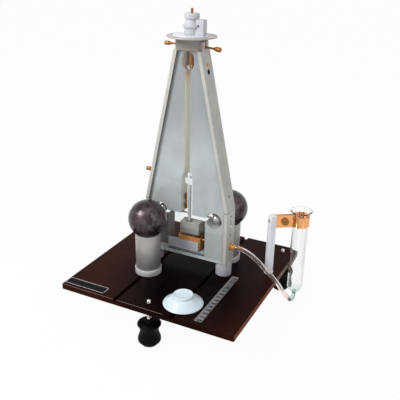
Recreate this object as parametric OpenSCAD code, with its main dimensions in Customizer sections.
// Gravitational torsion balance on a levelled board.
// Everything is in millimetres, +Z is up and the floor is at z = 0.
// X runs left to right along the front edge of the board, Y runs front to back.

/* [Board] */
// Width of the base board, left to right
board_w = 304; // [290:2:330]
// Depth of the base board, front to back
board_d = 297; // [280:1:330]
// Thickness of the base board
board_t = 10; // [8:0.5:14]
// Height of the underside of the board above the floor
board_lift = 66; // [62:1:75]
// Width of each guide groove
groove_w = 7; // [5:0.5:9]
// Depth of each guide groove
groove_depth = 4; // [2:0.5:6]

/* [Levelling feet] */
// Distance of a foot screw from the edges of the board
foot_inset = 19.5; // [19.5:0.5:30]
// Diameter of a foot screw
foot_screw_d = 7; // [6:0.5:9]
// Height of the rounded screw end above the board
foot_screw_proud = 4.5; // [4:0.5:8]
// Diameter of a foot knob
knob_d = 38; // [32:1:44]
// Height of a foot knob
knob_h = 42; // [36:1:44]
// Diameter of the pad under a foot knob
pad_d = 26; // [20:1:30]
// Height of the pad under a foot knob
pad_h = 4; // [3:0.5:6]

/* [Label and scale] */
// Length of the label plate
label_l = 76; // [60:1:90]
// Width of the label plate
label_w = 18; // [14:1:24]
// Length of the scale strip
scale_l = 143; // [100:1:145]
// Width of the scale strip
scale_w = 12; // [10:0.5:16]
// Thickness of the label plate and the scale strip
strip_t = 0.8; // [0.5:0.1:1.2]

/* [Tower] */
// How far the middle plane of the tower lies behind the middle of the board
tower_y = 6.5; // [0:0.5:10]
// Depth of the tower, front to back
tower_t = 32; // [30:1:40]
// Width of the tower over its lower, upright sides
lower_w = 151; // [146:1:160]
// Height of the upright sides
lower_h = 93; // [90:1:100]
// Height of the tapered part of the tower
upper_h = 249; // [220:1:280]
// Width of the tower at the top of the taper
upper_top_w = 45; // [42:1:52]
// Width of the neck block
neck_w = 38; // [36:1:40]
// Height of the neck block
neck_h = 18; // [16:1:24]
// Diameter of a tower leg
leg_d = 26.7; // [20:0.1:30]
// Height of a tower leg
leg_h = 24; // [20:1:30]
// Thickness of a glass pane
glass_t = 2.5; // [2:0.1:3.5]
// Sheet thickness of the side rails
rail_t = 2; // [1.5:0.1:2.5]
// Width of the rail lips that hold the panes
rail_lip = 6.5; // [5:0.1:9]

/* [Chamber] */
// Width of the damping chamber between the cheeks
window_w = 68.6; // [66:0.2:72]
// Height of the damping chamber above its floor bar
window_h = 66; // [62:1:68]
// Height of the floor bar of the chamber
floor_bar_h = 8; // [6:0.5:10]
// Diameter of the bore round each small ball
ball_bore_d = 28; // [24:0.5:30]
// Width of the mirror slot
mirror_slot_w = 20.6; // [19:0.2:24]
// Height of the mirror slot above the chamber
mirror_slot_h = 67; // [55:1:75]
// Diameter of the channel round the suspension ribbon
channel_d = 11; // [8:0.5:12]
// Height of the cone between the channel and the mirror slot
funnel_h = 13; // [8:1:16]
// Width of the pocket in the front of the neck
pocket_w = 20; // [18:0.5:22]
// Height of the pocket in the front of the neck
pocket_h = 28; // [24:1:34]

/* [Torsion pendulum] */
// Distance of each small ball from the torsion axis
arm = 50; // [49:0.1:51]
// Height of the pendulum beam above the board
beam_height = 97.5; // [94:0.5:99]
// Diameter of a small ball
small_ball_d = 15; // [10:0.5:16]
// Diameter of the pendulum beam
beam_d = 3; // [2:0.5:4]
// Diameter of the pendulum stem
stem_d = 5.5; // [4:0.5:6]
// Width of the mirror
mirror_w = 16; // [12:0.5:17]
// Height of the mirror
mirror_h = 12; // [10:0.5:18]
// Thickness of the suspension ribbon
ribbon_t = 0.6; // [0.4:0.1:1]
// Width of the damping paddle
paddle_w = 24; // [16:1:26]

/* [Torsion head] */
// Diameter of the ring flange
flange_d = 76; // [70:1:84]
// Thickness of the ring flange
flange_t = 2; // [1.5:0.1:3]
// Diameter of the degree dial
dial_d = 56; // [50:1:60]
// Thickness of the degree dial
dial_t = 1.5; // [1:0.1:2]
// Diameter of the turning head
head_d = 23; // [20:0.5:26]
// Height of the turning head
head_h = 30; // [28:0.5:34]
// Diameter of the top of the suspension rod
rod_top_d = 4; // [3:0.1:5]
// Diameter of the lower end of the suspension rod
rod_d = 10; // [7:0.5:10]

/* [Large balls] */
// Diameter of a large ball
ball_d = 63.2; // [58:0.1:66]
// Diameter of a ball column
column_d = 41.5; // [36:0.5:44]
// Diameter of the ring at the foot of a column
ring_d = 44.4; // [44.2:0.1:48]
// Height of the ring at the foot of a column
ring_h = 10; // [6:0.5:14]
// Distance of the front ball from the middle plane of the tower
front_ball_gap = 53; // [52:0.5:70]
// Distance of the rear ball from the middle plane of the tower
rear_ball_gap = 51.5; // [51.5:0.5:70]

/* [Oil reservoir] */
// Distance of the tube axis beyond the right edge of the board
tube_out = 20.5; // [19:0.5:28]
// Position of the tube axis behind the middle of the board
tube_y = 72; // [68:0.5:76]
// Outer diameter of the reservoir tube
tube_d = 26.5; // [24:0.5:28]
// Wall of the reservoir tube
tube_wall = 1.5; // [1.2:0.1:2]
// Diameter of the flared rim
tube_rim_d = 36.5; // [34:0.5:40]
// Height of the top of the reservoir tube above the board
tube_top = 113; // [108:1:118]
// Length of the reservoir tube
tube_l = 154; // [150:1:156]
// Outer diameter of the glass elbow
elbow_d = 7.6; // [6:0.1:8]
// Side of the square support post
post_w = 10; // [8:0.5:12]
// Height of the support post
post_h = 106; // [100:1:112]
// Height of the clip plate
clip_h = 22; // [18:1:24]
// Sheet thickness of the clip
clip_t = 1.2; // [1:0.1:1.6]
// Outer diameter of the oil hose
hose_d = 7.4; // [6:0.2:8]

/* [Ball seat] */
// Diameter of the spare ball seat
seat_d = 63; // [56:1:70]
// Height of the spare ball seat
seat_h = 17; // [14:1:22]

/* [Hidden] */

$fn = 64;

// Clearances: a running fit, a fixed fit and a free gap between bodies
fit_gap = 0.05;
free_gap = 0.3;
eps = 0.01;

// Levels
board_top = board_lift + board_t;
casing_z = board_top + leg_h;
plate_t = 2;
chamber_z = casing_z + plate_t;
fold_z = casing_z + lower_h;
neck_z = fold_z + upper_h;
flange_z = neck_z + neck_h;
dial_z = flange_z + flange_t;
head_z = dial_z + dial_t + free_gap;
beam_z = board_top + beam_height;
window_z = chamber_z + floor_bar_h;
window_top = window_z + window_h;

// Layers of the tower, measured from its middle plane
lip_t = 1.6;
pane_gap = 0.2;
half_t = tower_t / 2;
pane_y = half_t - lip_t - pane_gap - glass_t;
core_half = pane_y - pane_gap;

// Half widths of the tower
lower_hw = lower_w / 2;
upper_hw = upper_top_w / 2;
core_hw = lower_hw - rail_t - pane_gap;
taper = (lower_hw - upper_hw) / upper_h;

// Feet: front middle, rear left and rear right
front_foot = [0, -board_d / 2 + foot_inset];
left_foot = [-board_w / 2 + foot_inset + 3, board_d / 2 - foot_inset];
right_foot = [board_w / 2 - foot_inset - 3, board_d / 2 - foot_inset];
feet = [front_foot, left_foot, right_foot];

// Columns and balls
front_ball_y = tower_y - front_ball_gap;
rear_ball_y = tower_y + rear_ball_gap;
cup_r = column_d / 2 - 1.2;
column_h = beam_height - sqrt(pow(ball_d / 2, 2) - pow(cup_r, 2));
key_d = groove_w - 2 * free_gap;

// Reservoir tube, clip and post
tube_x = board_w / 2 + tube_out;
tube_r = tube_d / 2;
tube_top_z = board_top + tube_top;
tube_bottom_z = tube_top_z - tube_l;
elbow_r = 9;
elbow_turn = 139;
elbow_dir = -102;
elbow_z = tube_bottom_z - 2;
post_x = board_w / 2 - 19.5;
post_y = 45;
post_turn = -35;
clip_z = board_top + 84.5;
band_h = 18;
band_z = clip_z + (clip_h - band_h) / 2;
clip_angle = atan2(tube_y - post_y, tube_x - post_x);
post_to_tube = norm([tube_x - post_x, tube_y - post_y]);
clip_bolt_at = 21;

// The whole part is moved sideways, so that z runs up the middle of its box
right_end = tube_x + tube_rim_d / 2;
shift_x = (right_end - board_w / 2) / 2;

// Nozzle on the right side of the tower
nozzle_z = board_top + 53;
nozzle_l = 9;
nozzle_end = lower_hw + nozzle_l;
pipe_d = 5;

// The open end of the glass elbow, and the way it points
elbow_reach = elbow_r - elbow_r * cos(elbow_turn);
elbow_drop = elbow_r * sin(elbow_turn);
elbow_end = [
    tube_x + elbow_reach * cos(elbow_dir),
    tube_y + elbow_reach * sin(elbow_dir),
    elbow_z - elbow_drop
];
elbow_aim = [sin(elbow_turn) * cos(elbow_dir), sin(elbow_turn) * sin(elbow_dir), -cos(elbow_turn)];

// Route of the oil hose from the nozzle to the elbow. The points between are
// shares of the way along X, Y and Z, chosen by hand
hose_start = [nozzle_end, tower_y, nozzle_z];
hose_shares = [
    [0.207, 0.000, 0.017], [0.325, 0.000, 0.056], [0.443, 0.004, 0.118], [0.549, 0.014, 0.188],
    [0.653, 0.036, 0.271], [0.745, 0.086, 0.360], [0.816, 0.170, 0.451], [0.866, 0.290, 0.551],
    [0.899, 0.430, 0.658], [0.928, 0.573, 0.761], [0.953, 0.703, 0.844], [0.973, 0.815, 0.907]
];
hose_way = elbow_end - hose_start;
hose_route = [
    hose_start,
    hose_start + [hose_d, 0, 0],
    for (f = hose_shares)
        hose_start + [f[0] * hose_way[0], f[1] * hose_way[1], f[2] * hose_way[2]],
    elbow_end + hose_d * elbow_aim,
    elbow_end
];

module placed() {
    translate([-shift_x, 0, 0]) children();
}

// Moves a shape to the foot of the tower axis
module on_axis(z = 0) {
    placed() translate([0, tower_y, z]) children();
}

// Plate in the X-Z plane, between two depths measured from the tower plane
module wall(points, y_front, y_back) {
    translate([0, y_back, 0]) rotate([90, 0, 0]) linear_extrude(y_back - y_front) polygon(points);
}

function half_width(z) = z <= fold_z ? lower_hw : lower_hw - taper * (z - fold_z);

// Outline of the tower, drawn in by a margin on each side
function tower_outline(z_low, z_high, margin) = [
    [-half_width(z_low) + margin, z_low],
    [half_width(z_low) - margin, z_low],
    [half_width(fold_z) - margin, fold_z],
    [half_width(z_high) - margin, z_high],
    [-half_width(z_high) + margin, z_high],
    [-half_width(fold_z) + margin, fold_z]
];

// Board with two grooves and three tapped holes
module base_board() {
    color([0.13, 0.07, 0.06]) placed() difference() {
        translate([-board_w / 2, -board_d / 2, board_lift]) cube([board_w, board_d, board_t]);
        for (side = [-1, 1]) {
            translate([side * arm - groove_w / 2, -board_d / 2 - 1, board_top - groove_depth])
                cube([groove_w, board_d + 2, groove_depth + 1]);
        }
        for (p = feet) {
            translate([p[0], p[1], board_lift - 1]) cylinder(h = board_t + 2, d = foot_screw_d + 2 * fit_gap);
        }
    }
}

module label_plate() {
    label_edge = 1;
    color([0.05, 0.05, 0.05]) placed()
        translate([-board_w / 2 + label_edge, -board_d / 2 + 5, board_top])
            cube([label_l, label_w, strip_t]);
}

// Scale strip beside the right groove, with ticks cut along its left edge
module scale_strip() {
    scale_x = arm + 34;
    tick_step = 10;
    tick_l = 4;
    tick_w = 0.6;
    color([0.35, 0.34, 0.36]) placed() translate([scale_x, -board_d / 2 + 8, board_top]) difference() {
        cube([scale_w, scale_l, strip_t]);
        for (i = [1:floor((scale_l - 2) / tick_step)]) {
            translate([-1, i * tick_step - tick_w / 2, strip_t / 2]) cube([tick_l + 1, tick_w, strip_t]);
        }
    }
}

// Foot pad with a blind bore for the tip of the screw
tip_l = 2.4;
tip_d = 5;

module foot_pad(at) {
    placed() translate([at[0], at[1], 0]) difference() {
        union() {
            cylinder(h = pad_h - 1, d = pad_d);
            translate([0, 0, pad_h - 1]) cylinder(h = 1, d1 = pad_d, d2 = pad_d - 2);
        }
        translate([0, 0, pad_h - tip_l]) cylinder(h = tip_l + 1, d = tip_d + 2 * fit_gap);
    }
}

module front_foot_pad() {
    color([0.1, 0.1, 0.1]) foot_pad(front_foot);
}

module left_foot_pad() {
    color([0.1, 0.1, 0.1]) foot_pad(left_foot);
}

module right_foot_pad() {
    color([0.1, 0.1, 0.1]) foot_pad(right_foot);
}

// Waisted knob moulded on its screw, whose rounded end shows above the board
module foot_screw(at) {
    knob_z = pad_h + free_gap;
    knob_r = knob_d / 2;
    tip_z = pad_h - tip_l + 0.2;
    placed() translate([at[0], at[1], 0]) rotate_extrude() polygon([
        [0, tip_z],
        [tip_d / 2, tip_z],
        [tip_d / 2, knob_z],
        [knob_r - 3, knob_z],
        [knob_r - 0.5, knob_z + 3],
        [knob_r - 0.5, knob_z + 6],
        [knob_r * 0.82, knob_z + knob_h * 0.36],
        [knob_r * 0.79, knob_z + knob_h * 0.52],
        [knob_r * 0.86, knob_z + knob_h * 0.66],
        [knob_r, knob_z + knob_h * 0.73],
        [knob_r, knob_z + knob_h * 0.79],
        [knob_r * 0.86, knob_z + knob_h * 0.86],
        [knob_r * 0.42, knob_z + knob_h * 0.9],
        [knob_r * 0.36, knob_z + knob_h],
        [foot_screw_d / 2, knob_z + knob_h],
        for (i = [0:5])
            [foot_screw_d / 2 * cos(i * 15), board_top + foot_screw_proud - foot_screw_d / 2
                + foot_screw_d / 2 * sin(i * 15)],
        [0, board_top + foot_screw_proud]
    ]);
}

module front_foot_screw() {
    color([0.07, 0.07, 0.06]) foot_screw(front_foot);
}

module left_foot_screw() {
    color([0.07, 0.07, 0.06]) foot_screw(left_foot);
}

module right_foot_screw() {
    color([0.07, 0.07, 0.06]) foot_screw(right_foot);
}

leg_x = lower_hw - 10;

module tower_leg(side) {
    on_axis(board_top) translate([side * leg_x, 0, 0]) cylinder(h = leg_h, d = leg_d);
}

module left_leg() {
    color([0.85, 0.85, 0.88]) tower_leg(-1);
}

module right_leg() {
    color([0.85, 0.85, 0.88]) tower_leg(1);
}

module bottom_plate() {
    color([0.68, 0.7, 0.7]) on_axis(casing_z)
        translate([-core_hw, -pane_y - glass_t, 0])
            cube([2 * core_hw, 2 * (pane_y + glass_t), plate_t]);
}

// Bar under the chamber, with two fine grooves along its front
module floor_bar() {
    bar_groove = 0.9;
    color([0.68, 0.7, 0.72]) on_axis(chamber_z) difference() {
        translate([-window_w / 2, -core_half, 0]) cube([window_w, 2 * core_half, floor_bar_h]);
        for (level = [0.45, 0.72]) {
            translate([-window_w / 2 - 1, -core_half - 1, floor_bar_h * level])
                cube([window_w + 2, 1 + bar_groove, bar_groove]);
        }
    }
}

// Solid cheek beside the chamber, with the bore round one small ball
module cheek(side) {
    inner = window_w / 2;
    bore_slot = 2 * (small_ball_d / 2 - 3);
    on_axis() difference() {
        wall([
            [side * inner, chamber_z],
            [side * core_hw, chamber_z],
            [side * core_hw, fold_z],
            [side * inner, fold_z]
        ], -core_half, core_half);
        translate([side * arm, core_half + 1, beam_z]) rotate([90, 0, 0])
            cylinder(h = 2 * core_half + 2, d = ball_bore_d);
        translate([side > 0 ? inner - 1 : -arm, -core_half - 1, beam_z - bore_slot / 2])
            cube([arm - inner + 1, 2 * core_half + 2, bore_slot]);
        if (side > 0) {
            translate([inner - 1, 0, nozzle_z]) rotate([0, 90, 0])
                cylinder(h = core_hw - inner + 2, d = pipe_d + 2 * fit_gap);
        }
    }
}

module left_cheek() {
    color([0.68, 0.72, 0.72]) cheek(-1);
}

module right_cheek() {
    color([0.68, 0.72, 0.72]) cheek(1);
}

// Tapered core plate between the panes, with the mirror slot, the ribbon channel and the neck pocket
pocket_z = neck_z - 2 - pocket_h;

module upper_core() {
    core_z = window_top;
    mirror_top = window_top + mirror_slot_h;
    funnel_back = 3;
    inner = window_w / 2 - pane_gap;
    color([0.66, 0.7, 0.71]) on_axis() difference() {
        wall([
            [-inner, core_z],
            [inner, core_z],
            [inner, fold_z + pane_gap],
            [core_hw, fold_z + pane_gap],
            [upper_hw - rail_t - pane_gap, neck_z],
            [-upper_hw + rail_t + pane_gap, neck_z],
            [-core_hw, fold_z + pane_gap],
            [-inner, fold_z + pane_gap]
        ], -core_half, core_half);
        translate([-mirror_slot_w / 2, -core_half - 1, core_z - 1])
            cube([mirror_slot_w, 2 * core_half + 2, mirror_slot_h + 1]);
        translate([0, 0, mirror_top - 1]) cylinder(h = neck_z - mirror_top + 2, d = channel_d);
        wall([
            [-mirror_slot_w / 2 + 1, mirror_top - 1],
            [mirror_slot_w / 2 - 1, mirror_top - 1],
            [channel_d / 2 - 0.5, mirror_top + funnel_h],
            [channel_d / 2 - 0.5, pocket_z + 1],
            [-channel_d / 2 + 0.5, pocket_z + 1],
            [-channel_d / 2 + 0.5, mirror_top + funnel_h]
        ], -core_half - 1, funnel_back);
        translate([0, 0, pocket_z + pocket_w / 2]) rotate([90, 0, 0]) cylinder(h = core_half + 1, d = pocket_w);
        translate([0, 0, pocket_z + pocket_h - pocket_w / 2]) rotate([90, 0, 0])
            cylinder(h = core_half + 1, d = pocket_w);
        translate([-pocket_w / 2, -core_half - 1, pocket_z + pocket_w / 2])
            cube([pocket_w, core_half + 1, pocket_h - pocket_w]);
        translate([0, 0, pocket_z]) cylinder(h = pocket_h, d = pocket_w - 1);
    }
}

// Neck block with the bore for the suspension rod, a slot for the lever and a tapped hole
lever_z = neck_z + neck_h / 3;
lever_d = 3;
lever_slot_w = lever_d + 2 * free_gap;
lever_pin_d = 2.4;
lever_pin_l = 14;
lever_pivot_x = 9;
lever_tilt = 5;

module neck_block() {
    color([0.55, 0.52, 0.49]) on_axis(neck_z) difference() {
        translate([-neck_w / 2, -half_t, 0]) cube([neck_w, tower_t, neck_h]);
        translate([0, 0, -1]) cylinder(h = neck_h + 2, d = channel_d);
        translate([0, 0, lever_z - neck_z]) rotate([0, -90, 0])
            cylinder(h = neck_w / 2 + 1, d = lever_d + 2 * fit_gap);
        translate([0, -lever_slot_w / 2, 1.5]) cube([neck_w / 2 + 1, lever_slot_w, neck_h - 6]);
        translate([lever_pivot_x, lever_pin_l / 2, lever_z - neck_z]) rotate([90, 0, 0])
            cylinder(h = lever_pin_l, d = lever_pin_d + 2 * fit_gap);
    }
}

// Channel rail folded round the edge of the core and both panes
module slanted_rail(side) {
    z1 = fold_z + 0.1;
    z2 = neck_z;
    outer = [half_width(z1), half_width(z2)];
    on_axis() difference() {
        wall([
            [side * outer[0], z1],
            [side * outer[1], z2],
            [side * (outer[1] - rail_lip), z2],
            [side * (outer[0] - rail_lip), z1]
        ], -half_t, half_t);
        wall([
            [side * (outer[0] - rail_t + taper), z1 - 1],
            [side * (outer[1] - rail_t - 2 * taper), z2 + 2],
            [side * (outer[1] - rail_lip - 2), z2 + 2],
            [side * (outer[0] - rail_lip - 2), z1 - 1]
        ], -half_t + lip_t, half_t - lip_t);
        translate([0, 0, low_hole_z]) rotate([0, side * 90, 0]) cylinder(h = lower_hw + 2, d = rail_hole_d);
        translate([0, 0, high_hole_z]) rotate([0, side * 90, 0]) cylinder(h = lower_hw, d = high_hole_d);
        if (side < 0) {
            translate([0, 0, lock_z]) rotate([0, -90, 0]) cylinder(h = lower_hw, d = lock_d + 2 * fit_gap);
        }
    }
}

// Holes in the side rails
rail_hole_d = 3;
low_hole_z = board_top + 141;
high_hole_z = board_top + 335;
high_hole_d = 7;
upright_hole_levels = [board_top + 73.6, board_top + 107];
rail_slot_z = board_top + 96;

module left_rail() {
    color([0.72, 0.72, 0.72]) slanted_rail(-1);
}

module right_rail() {
    color([0.72, 0.72, 0.72]) slanted_rail(1);
}

module upright_rail(side) {
    on_axis(casing_z) difference() {
        translate([side > 0 ? lower_hw - rail_lip : -lower_hw, -half_t, 0])
            cube([rail_lip, tower_t, lower_h]);
        translate([side > 0 ? lower_hw - rail_lip - 1 : -lower_hw + rail_t, -half_t + lip_t, -1])
            cube([rail_lip - rail_t + 1, tower_t - 2 * lip_t, lower_h + 2]);
        for (z = upright_hole_levels) {
            translate([0, 0, z - casing_z]) rotate([0, side * 90, 0]) cylinder(h = lower_hw + 2, d = rail_hole_d);
        }
        translate([side * lower_hw - 3, -0.8, rail_slot_z - casing_z - 3.5]) cube([6, 1.6, 7]);
        if (side > 0) {
            translate([0, 0, nozzle_z - casing_z]) rotate([0, 90, 0])
                cylinder(h = lower_hw + 1, d = pipe_d + 2 * fit_gap);
        }
    }
}

module left_lower_rail() {
    color([0.71, 0.72, 0.7]) upright_rail(-1);
}

module right_lower_rail() {
    color([0.71, 0.72, 0.7]) upright_rail(1);
}

pane_margin = rail_t + pane_gap;

module front_glass() {
    color([0.75, 0.82, 0.83, 0.4]) on_axis()
        wall(tower_outline(chamber_z, neck_z - pane_gap, pane_margin), -pane_y - glass_t, -pane_y);
}

module rear_glass() {
    color([0.75, 0.82, 0.83, 0.4]) on_axis()
        wall(tower_outline(chamber_z, neck_z - pane_gap, pane_margin), pane_y, pane_y + glass_t);
}

// Slotted screw head, drawn along +Z
module screw_head(d) {
    difference() {
        cylinder(h = 1.6, d1 = d, d2 = d * 0.8);
        translate([-0.4, -d, 0.9]) cube([0.8, 2 * d, 2]);
    }
}

// Small screws of the side rails, and the long one that holds the clip on the post
side_screw_z = board_top + 89;
top_screw_z = board_top + 345;
post_screw_z = board_top + post_h - 8;
post_screw_d = 3;

module fixing_screws() {
    color([0.7, 0.55, 0.3]) {
        on_axis() for (side = [-1, 1]) {
            translate([side * lower_hw, 0, side_screw_z]) rotate([0, side * 90, 0]) screw_head(4.6);
            translate([side * half_width(top_screw_z), 0, top_screw_z])
                rotate([0, side * (90 - atan(taper)), 0]) screw_head(5);
        }
        at_post(post_screw_z) {
            translate([0, -post_w / 2, 0]) rotate([90, 0, 0]) screw_head(5.6);
            translate([0, post_w / 2 + fit_gap + clip_t, 0]) rotate([90, 0, 0])
                cylinder(h = post_w + fit_gap + clip_t + eps, d = post_screw_d);
        }
    }
}

module ring_flange() {
    color([0.8, 0.79, 0.78]) on_axis(flange_z) difference() {
        cylinder(h = flange_t, d = flange_d, $fn = 96);
        translate([0, 0, -1]) cylinder(h = flange_t + 2, d = channel_d);
    }
}

// Dial with a tick every ten degrees
module degree_dial() {
    dial_tick = 3;
    color([0.89, 0.93, 0.94]) on_axis(dial_z) difference() {
        cylinder(h = dial_t, d = dial_d, $fn = 96);
        translate([0, 0, -1]) cylinder(h = dial_t + 2, d = channel_d);
        for (a = [0:10:350]) {
            rotate([0, 0, a]) translate([dial_d / 2 - dial_tick, -0.25, dial_t - 0.4])
                cube([dial_tick + 1, 0.5, 1]);
        }
    }
}

// Turned head: foot, collar, neck, undercut and cap, with a bore for the rod
module turning_head() {
    r = head_d / 2;
    foot_h = head_h * 0.3;
    collar_h = head_h * 0.46;
    neck_top = head_h * 0.64;
    cap_z = head_h * 0.75;
    bore_r = rod_top_d / 2 + fit_gap;
    color([0.73, 0.73, 0.76]) on_axis(head_z) rotate_extrude() polygon([
        [bore_r, 0],
        [r, 0],
        [r, foot_h],
        [r + 1, foot_h + 1],
        [r + 2, foot_h + 1],
        [r + 2, collar_h],
        [r - 1, collar_h],
        [r - 1, neck_top],
        [r - 2.2, neck_top],
        [r - 2.2, cap_z],
        [r, cap_z],
        [r, head_h - 0.6],
        [r - 0.6, head_h],
        [bore_r, head_h]
    ]);
}

// Block clamped on the side of the head
module head_clamp() {
    clamp_l = head_d / 2 + 10.5;
    clamp_w = 12;
    clamp_top = head_h * 0.73;
    color([0.74, 0.74, 0.77]) on_axis(head_z) difference() {
        translate([0, -clamp_w / 2 - 1, 0]) cube([clamp_l, clamp_w, clamp_top]);
        translate([0, 0, -1]) cylinder(h = clamp_top + 2, r = head_d / 2 + fit_gap);
        translate([0, 0, head_h * 0.3]) cylinder(h = head_h * 0.16 + 0.3, r = head_d / 2 + 2 + fit_gap);
        translate([head_d / 2, -clamp_w / 2 - 2, head_h * 0.36]) cube([4, 4, 3.4]);
    }
}

// Rod that hangs from the head: a thin top and a thicker lower end
rod_low_z = pocket_z + 7;
rod_step_z = neck_z + 2;
rod_top_z = head_z + head_h + 7;

module suspension_rod() {
    color([0.59, 0.43, 0.27]) on_axis() {
        translate([0, 0, rod_low_z]) cylinder(h = rod_step_z - rod_low_z, d = rod_d);
        translate([0, 0, rod_step_z]) cylinder(h = rod_top_z - rod_step_z - 0.6, d = rod_top_d);
        translate([0, 0, rod_top_z - 0.6]) cylinder(h = 0.6, d1 = rod_top_d, d2 = rod_top_d - 1);
    }
}

// Clamp of the ribbon under the rod, with a ring screw facing the front
clamp_h = 6.5;
clamp_low_z = rod_low_z - clamp_h;

module ribbon_clamp() {
    cap_d = 7.5;
    ring_d = 6.4;
    color([0.8, 0.79, 0.74]) on_axis(clamp_low_z) {
        cylinder(h = 1, d1 = 5, d2 = cap_d);
        translate([0, 0, 1]) cylinder(h = clamp_h - 1, d = cap_d);
        translate([-1.8, -3, clamp_h / 2]) rotate([90, 0, 0]) difference() {
            cylinder(h = 3.6, d = ring_d);
            translate([0, 0, 1.6]) cylinder(h = 4, d = ring_d - 3.6);
        }
    }
}

// Suspension ribbon from the clamp to the mirror
stem_top_z = board_top + 164;
mirror_z = board_top + 149.5;

module suspension_ribbon() {
    color([0.75, 0.7, 0.6]) on_axis(stem_top_z)
        translate([-ribbon_t / 2, -ribbon_t / 2, 0]) cube([ribbon_t, ribbon_t, clamp_low_z - stem_top_z]);
}

module mirror() {
    color([0.95, 0.95, 0.95]) on_axis(mirror_z)
        translate([-mirror_w / 2, -stem_d / 2 - 1.5, 0]) cube([mirror_w, 1.5, mirror_h]);
}

// Stem of the pendulum, from the ribbon down to the paddle
guide_z = board_top + 63;
guide_h = 20;
trough_z = board_top + 41;
trough_h = 17;
stem_low_z = trough_z + trough_h - 1;

module pendulum_stem() {
    color([0.6, 0.6, 0.6]) on_axis() difference() {
        union() {
            translate([0, 0, stem_low_z + 4]) cylinder(h = stem_top_z - stem_low_z - 6, d = stem_d);
            translate([0, 0, stem_top_z - 2]) cylinder(h = 2, d1 = stem_d, d2 = 2);
            translate([0, 0, stem_low_z]) cylinder(h = 4, d1 = 2, d2 = stem_d);
        }
        translate([-arm, 0, beam_z]) rotate([0, 90, 0]) cylinder(h = 2 * arm, d = beam_d);
    }
}

// Small brass weight on a side pin of the stem
weight_z = board_top + 105;

module balance_weight() {
    weight_x = -7;
    color([0.62, 0.42, 0.2]) on_axis() {
        translate([weight_x, 0, weight_z + 17]) cylinder(h = 9, d = 4.6);
        translate([weight_x, 0, weight_z + 9]) cylinder(h = 8, d = 2);
        translate([weight_x, 0, weight_z]) cylinder(h = 9, d = 5);
        translate([weight_x, 0, weight_z + 13]) rotate([0, 90, 0])
            cylinder(h = -weight_x - stem_d / 2 - fit_gap, d = 1.4);
    }
}

module beam() {
    reach = arm - small_ball_d / 2 + 1;
    color([0.75, 0.76, 0.78]) on_axis(beam_z) translate([-reach, 0, 0]) rotate([0, 90, 0])
        cylinder(h = 2 * reach, d = beam_d);
}

module small_balls() {
    color([0.45, 0.45, 0.47]) on_axis(beam_z) for (side = [-1, 1]) {
        difference() {
            translate([side * arm, 0, 0]) sphere(d = small_ball_d);
            translate([-arm + small_ball_d / 2 - 1, 0, 0]) rotate([0, 90, 0])
                cylinder(h = 2 * (arm - small_ball_d / 2 + 1), d = beam_d);
        }
    }
}

// Paddle that dips into the trough
module damping_paddle() {
    paddle_h = 11;
    paddle_z = stem_low_z + 1.5 - paddle_h;
    color([0.85, 0.85, 0.82]) on_axis(paddle_z) difference() {
        translate([-paddle_w / 2, -1, 0]) cube([paddle_w, 2, paddle_h]);
        translate([0, 0, paddle_h - 1.5]) cylinder(h = 4, d1 = 2, d2 = stem_d);
    }
}

// Block that guides the stem, with a wide bore and a lead-in
block_x = -13.5;
block_l = 34.5;
block_t = 16;

module guide_block() {
    guide_d = stem_d + 6;
    color([0.6, 0.6, 0.57]) on_axis(guide_z) difference() {
        translate([block_x, -block_t / 2, 0]) cube([block_l, block_t, guide_h]);
        translate([0, 0, -1]) cylinder(h = guide_h + 2, d = guide_d);
    }
}

// Copper trough, open at the top
trough_x = block_x - 3;
trough_l = block_l + 6;
trough_wall = 1.4;
trough_leg_l = 9;
trough_leg_h = 4;

module oil_trough() {
    color([0.6, 0.33, 0.12]) on_axis(trough_z) difference() {
        union() {
            translate([trough_x, -block_t / 2, 0]) cube([trough_l, block_t, trough_h]);
            translate([trough_x + trough_l - trough_leg_l, -block_t / 2, -trough_leg_h])
                cube([trough_leg_l, block_t, trough_leg_h + eps]);
        }
        translate([trough_x + trough_wall, -block_t / 2 + trough_wall, trough_wall])
            cube([trough_l - 2 * trough_wall, block_t - 2 * trough_wall, trough_h]);
        translate([trough_x + trough_l - trough_wall - 1, 0, nozzle_z - trough_z]) rotate([0, 90, 0])
            cylinder(h = trough_wall + 2, d = pipe_d + 2 * fit_gap);
    }
}

// Bracket behind the block and the trough, fixed to the right cheek, with a foot on the floor bar
module chamber_bracket() {
    back_t = 2.5;
    color([0.42, 0.4, 0.38]) on_axis() {
        translate([trough_x + 2, block_t / 2, window_z])
            cube([window_w / 2 - trough_x - 2, back_t, guide_z + guide_h - window_z]);
        translate([trough_x + trough_l - trough_leg_l, -block_t / 2, window_z])
            cube([trough_leg_l, block_t + eps, trough_z - trough_leg_h - window_z]);
    }
}

// Light sill behind the pane, in front of the trough
module chamber_sill() {
    sill_t = 2.5;
    sill_h = 17;
    color([0.7, 0.72, 0.73]) on_axis(window_z) difference() {
        translate([-window_w / 2, -core_half, 0]) cube([window_w / 2 + 22, sill_t, sill_h]);
        translate([-window_w / 2 + 7, -core_half + sill_t + 1, sill_h / 2]) rotate([90, 0, 0])
            cylinder(h = sill_t + 2, d = 3);
    }
}

module inlet_pipe() {
    start = trough_x + trough_l - trough_wall;
    color([0.62, 0.45, 0.22]) on_axis(nozzle_z) translate([start, 0, 0]) rotate([0, 90, 0]) difference() {
        cylinder(h = lower_hw - start, d = pipe_d);
        translate([0, 0, -1]) cylinder(h = lower_hw - start + 2, d = pipe_d - 2);
    }
}

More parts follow.
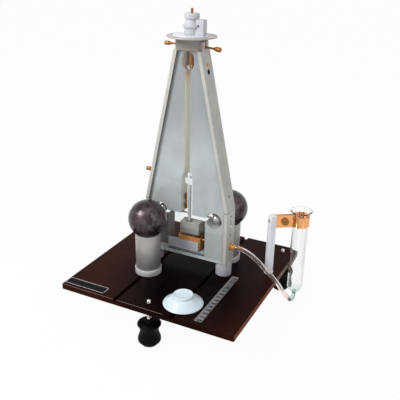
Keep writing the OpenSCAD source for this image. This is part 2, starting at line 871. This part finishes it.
// Turned brass nozzle with a collar and a barb
module hose_nozzle() {
    color([0.7, 0.5, 0.2]) on_axis(nozzle_z) translate([lower_hw, 0, 0]) rotate([0, 90, 0])
        rotate_extrude() polygon([
            [1.5, 0],
            [5.5, 0],
            [5.5, 3.2],
            [5, 3.6],
            [4.4, 3.6],
            [4.4, nozzle_l - 2],
            [4.8, nozzle_l - 1.4],
            [4, nozzle_l],
            [1.5, nozzle_l]
        ]);
}

// Slotted block on the right of the neck that guides the lever
module lever_bracket() {
    bracket_w = 20;
    bracket_l = 4;
    bracket_h = neck_h * 0.72;
    color([0.8, 0.78, 0.76]) on_axis(neck_z) difference() {
        translate([neck_w / 2, -bracket_w / 2, 0]) cube([bracket_l, bracket_w, bracket_h]);
        translate([neck_w / 2 - 1, -lever_slot_w / 2, 1.5])
            cube([bracket_l + 2, lever_slot_w, bracket_h]);
    }
}

// Turned brass knob on a thin shank, drawn along +Z
module brass_knob(shank_l, shank_d, grip_l, grip_d) {
    rotate_extrude() polygon([
        [0, 0],
        [shank_d / 2, 0],
        [shank_d / 2, shank_l],
        [shank_d / 2 + 0.6, shank_l + 0.8],
        [grip_d * 0.36, shank_l + grip_l * 0.25],
        [grip_d / 2, shank_l + grip_l * 0.4],
        [grip_d / 2, shank_l + grip_l * 0.9],
        [grip_d * 0.42, shank_l + grip_l],
        [0, shank_l + grip_l]
    ]);
}

// Lever in the neck slot, which arrests the suspension; its cross pin turns in the neck
module arrest_lever() {
    shank_l = 27;
    color([0.66, 0.45, 0.24]) on_axis(lever_z) translate([lever_pivot_x, 0, 0]) {
        rotate([0, 90 + lever_tilt, 0]) brass_knob(shank_l, lever_d, 12, 7);
        translate([0, lever_pin_l / 2 - free_gap, 0]) rotate([90, 0, 0])
            cylinder(h = lever_pin_l - 2 * free_gap, d = lever_pin_d);
    }
}

// Clamping screw in the left of the neck
module clamp_screw() {
    clamp_reach = 45.6;
    grip_l = 12;
    color([0.62, 0.47, 0.25]) on_axis(lever_z) translate([-channel_d / 2 - 1, 0, 0]) rotate([0, -90, 0])
        brass_knob(clamp_reach - channel_d / 2 - 1 - grip_l, lever_d, grip_l, 6.4);
}

// Locking screw through the left rail
lock_z = board_top + 163;
lock_d = 3;

module lock_screw() {
    x_in = half_width(lock_z) - rail_t + free_gap;
    color([0.66, 0.5, 0.3]) on_axis(lock_z) translate([-x_in, 0, 0]) rotate([0, -90, 0])
        brass_knob(5.5, lock_d, 12.5, 6.8);
}

// Column with a cup for the ball and a key that runs in the groove
module column(x, y) {
    placed() translate([x, y, board_top]) difference() {
        union() {
            cylinder(h = column_h, d = column_d);
            translate([0, 0, -groove_depth + free_gap]) cylinder(h = groove_depth, d = key_d);
        }
        translate([0, 0, beam_height]) sphere(d = ball_d, $fn = 96);
        translate([0, 0, column_h - 14]) cylinder(h = 20, r = cup_r - 2);
    }
}

module column_ring(x, y) {
    placed() translate([x, y, board_top]) difference() {
        cylinder(h = ring_h, d = ring_d);
        translate([0, 0, -1]) cylinder(h = ring_h + 2, d = column_d);
    }
}

module large_ball(x, y) {
    placed() translate([x, y, beam_z]) sphere(d = ball_d - 2 * fit_gap, $fn = 96);
}

module left_column() {
    color([0.58, 0.57, 0.56]) column(-arm, front_ball_y);
}

module left_ring() {
    color([0.75, 0.74, 0.74]) column_ring(-arm, front_ball_y);
}

module left_ball() {
    color([0.3, 0.25, 0.25]) large_ball(-arm, front_ball_y);
}

module right_column() {
    color([0.58, 0.57, 0.56]) column(arm, rear_ball_y);
}

module right_ring() {
    color([0.75, 0.74, 0.74]) column_ring(arm, rear_ball_y);
}

module right_ball() {
    color([0.3, 0.25, 0.25]) large_ball(arm, rear_ball_y);
}

// Square post with a round foot, which carries the reservoir clip
post_foot_h = 3;

module at_post(z) {
    placed() translate([post_x, post_y, z]) rotate([0, 0, post_turn]) children();
}

module support_post() {
    color([0.8, 0.82, 0.83]) difference() {
        at_post(board_top) {
            cylinder(h = post_foot_h, d = post_w * sqrt(2) + 1.4);
            translate([-post_w / 2, -post_w / 2, 0]) cube([post_w, post_w, post_h]);
        }
        at_post(post_screw_z) translate([0, post_w, 0]) rotate([90, 0, 0])
            cylinder(h = 2 * post_w, d = post_screw_d + 2 * fit_gap);
    }
}

// Copper clip: a tab on the post, two plates towards the tube and a band round it
module clip_frame() {
    placed() translate([tube_x, tube_y, clip_z]) rotate([0, 0, clip_angle]) children();
}

clip_gap = 3;
band_r = tube_r + fit_gap;

bolt_x = clip_bolt_at - post_to_tube;

module clip_band() {
    plate_l = post_to_tube - tube_r + 2;
    tab_y = post_w / 2 + fit_gap;
    color([0.88, 0.6, 0.38]) difference() {
        union() {
            difference() {
                clip_frame() difference() {
                    union() {
                        translate([0, 0, (clip_h - band_h) / 2]) cylinder(h = band_h, r = band_r + clip_t);
                        for (y = [-clip_gap / 2 - clip_t, clip_gap / 2]) {
                            translate([-post_to_tube, y, 0]) cube([plate_l, clip_t, clip_h]);
                        }
                    }
                    translate([0, 0, -1]) cylinder(h = clip_h + 2, r = band_r);
                    translate([-tube_r - 4, -clip_gap / 2, -1]) cube([8, clip_gap, clip_h + 2]);
                    translate([bolt_x, 2 * clip_gap, clip_h / 2]) rotate([90, 0, 0])
                        cylinder(h = 4 * clip_gap, d = bolt_d + 2 * fit_gap);
                }
                at_post(clip_z - 1) translate([-3 * post_w, -3 * post_w, 0])
                    cube([6 * post_w, 3 * post_w + tab_y, clip_h + 2]);
            }
            at_post(clip_z) translate([-post_w / 2, tab_y, 0]) cube([post_w, clip_t, clip_h]);
        }
        at_post(post_screw_z) translate([0, post_w, 0]) rotate([90, 0, 0])
            cylinder(h = 2 * post_w, d = post_screw_d + 2 * fit_gap);
    }
}

// Thumb nut and bolt that draw the two clip plates together
bolt_d = 3;

module clip_nut() {
    nut_d = 12;
    nut_t = 4;
    front_y = -clip_gap / 2 - clip_t - free_gap;
    color([0.68, 0.5, 0.3]) clip_frame() translate([bolt_x, front_y, clip_h / 2]) rotate([90, 0, 0]) {
        cylinder(h = nut_t, d = nut_d);
        translate([0, 0, -clip_gap - 2 * clip_t - 2 * free_gap - 1])
            cylinder(h = clip_gap + 2 * clip_t + 2 * free_gap + 1, d = bolt_d);
    }
}

// Glass tube with a flared rim and a rounded end, drawn out into a neck
module reservoir_tube() {
    r = tube_r;
    inner = r - tube_wall;
    rim_r = tube_rim_d / 2;
    neck_r = elbow_d / 2;
    bore_r = neck_r - 1;
    flare_h = 6;
    steps = 10;
    out_a = asin(neck_r / r);
    in_a = asin(bore_r / inner);
    outer_side = [for (i = [0:steps]) let (a = out_a + i * (90 - out_a) / steps) [r * sin(a), r - r * cos(a)]];
    inner_side = [for (i = [0:steps]) let (a = 90 - i * (90 - in_a) / steps) [inner * sin(a), r - inner * cos(a)]];
    low = elbow_z - tube_bottom_z;
    color([0.85, 0.9, 0.9, 0.4]) placed() translate([tube_x, tube_y, 0]) {
        translate([0, 0, tube_bottom_z]) rotate_extrude() polygon(concat(
            [[bore_r, low], [neck_r, low]],
            outer_side,
            [
                [r, tube_l - flare_h],
                [r + 1, tube_l - flare_h * 0.6],
                [rim_r, tube_l - 1.5],
                [rim_r, tube_l],
                [rim_r - tube_wall, tube_l],
                [inner + 0.6, tube_l - flare_h * 0.6],
                [inner, tube_l - flare_h]
            ],
            inner_side
        ));
    }
}

// Bent glass outlet under the tube
module outlet_elbow() {
    color([0.85, 0.9, 0.9, 0.4]) placed() translate([tube_x, tube_y, elbow_z]) rotate([0, 0, elbow_dir])
        translate([elbow_r, 0, 0]) rotate([90, 180, 0]) rotate_extrude(angle = elbow_turn)
            translate([elbow_r, 0]) difference() {
                circle(r = elbow_d / 2);
                circle(r = elbow_d / 2 - 1);
            }
}

// Tube swept along a route: rings of points joined by triangles
function unit(v) = v / norm(v);

function route_tangent(route, i) =
    unit(route[min(i + 1, len(route) - 1)] - route[max(i - 1, 0)]);

function ring_points(center, t, r, sides) =
    let (side_dir = unit(cross(t, [0, 0, 1])), up_dir = cross(side_dir, t))
    [for (k = [0:sides - 1]) center + r * (cos(k * 360 / sides) * side_dir + sin(k * 360 / sides) * up_dir)];

module swept_tube(route, d, sides) {
    count = len(route);
    points = [for (i = [0:count - 1]) each ring_points(route[i], route_tangent(route, i), d / 2, sides)];
    walls = [for (i = [0:count - 2]) for (k = [0:sides - 1])
        let (a = i * sides + k, b = i * sides + (k + 1) % sides)
        each [[a, b, b + sides], [a, b + sides, a + sides]]];
    start_cap = [for (k = [1:sides - 2]) [0, k + 1, k]];
    last = (count - 1) * sides;
    end_cap = [for (k = [1:sides - 2]) [last, last + k, last + k + 1]];
    polyhedron(points = points, faces = concat(walls, start_cap, end_cap));
}

module oil_hose() {
    color([0.84, 0.76, 0.72]) placed() swept_tube(hose_route, hose_d, 12);
}

// Loose seat for a large ball: a cone with a raised, dished top
module ball_seat() {
    r = seat_d / 2;
    top_r = 15.7;
    step_h = 5;
    color([0.85, 0.9, 0.92]) placed() translate([arm - 1, -board_d / 2 + 40.5, board_top + free_gap])
        rotate_extrude() polygon([
            [0, 0],
            [r, 0],
            [r, 1.6],
            [top_r + 3.4, seat_h - step_h - 1],
            [top_r + 1, seat_h - step_h],
            [top_r, seat_h - step_h],
            [top_r, seat_h - 0.6],
            [top_r - 0.6, seat_h],
            [top_r - 2, seat_h],
            [0, seat_h - 1.2]
        ]);
}

base_board();
label_plate();
scale_strip();
front_foot_pad();
left_foot_pad();
right_foot_pad();
front_foot_screw();
left_foot_screw();
right_foot_screw();
left_leg();
right_leg();
bottom_plate();
floor_bar();
left_cheek();
right_cheek();
upper_core();
neck_block();
left_rail();
right_rail();
left_lower_rail();
right_lower_rail();
front_glass();
rear_glass();
fixing_screws();
ring_flange();
degree_dial();
turning_head();
head_clamp();
suspension_rod();
ribbon_clamp();
suspension_ribbon();
mirror();
pendulum_stem();
balance_weight();
beam();
small_balls();
damping_paddle();
guide_block();
oil_trough();
chamber_bracket();
chamber_sill();
inlet_pipe();
hose_nozzle();
lever_bracket();
arrest_lever();
clamp_screw();
lock_screw();
left_column();
left_ring();
left_ball();
right_column();
right_ring();
right_ball();
support_post();
clip_band();
clip_nut();
reservoir_tube();
outlet_elbow();
oil_hose();
ball_seat();
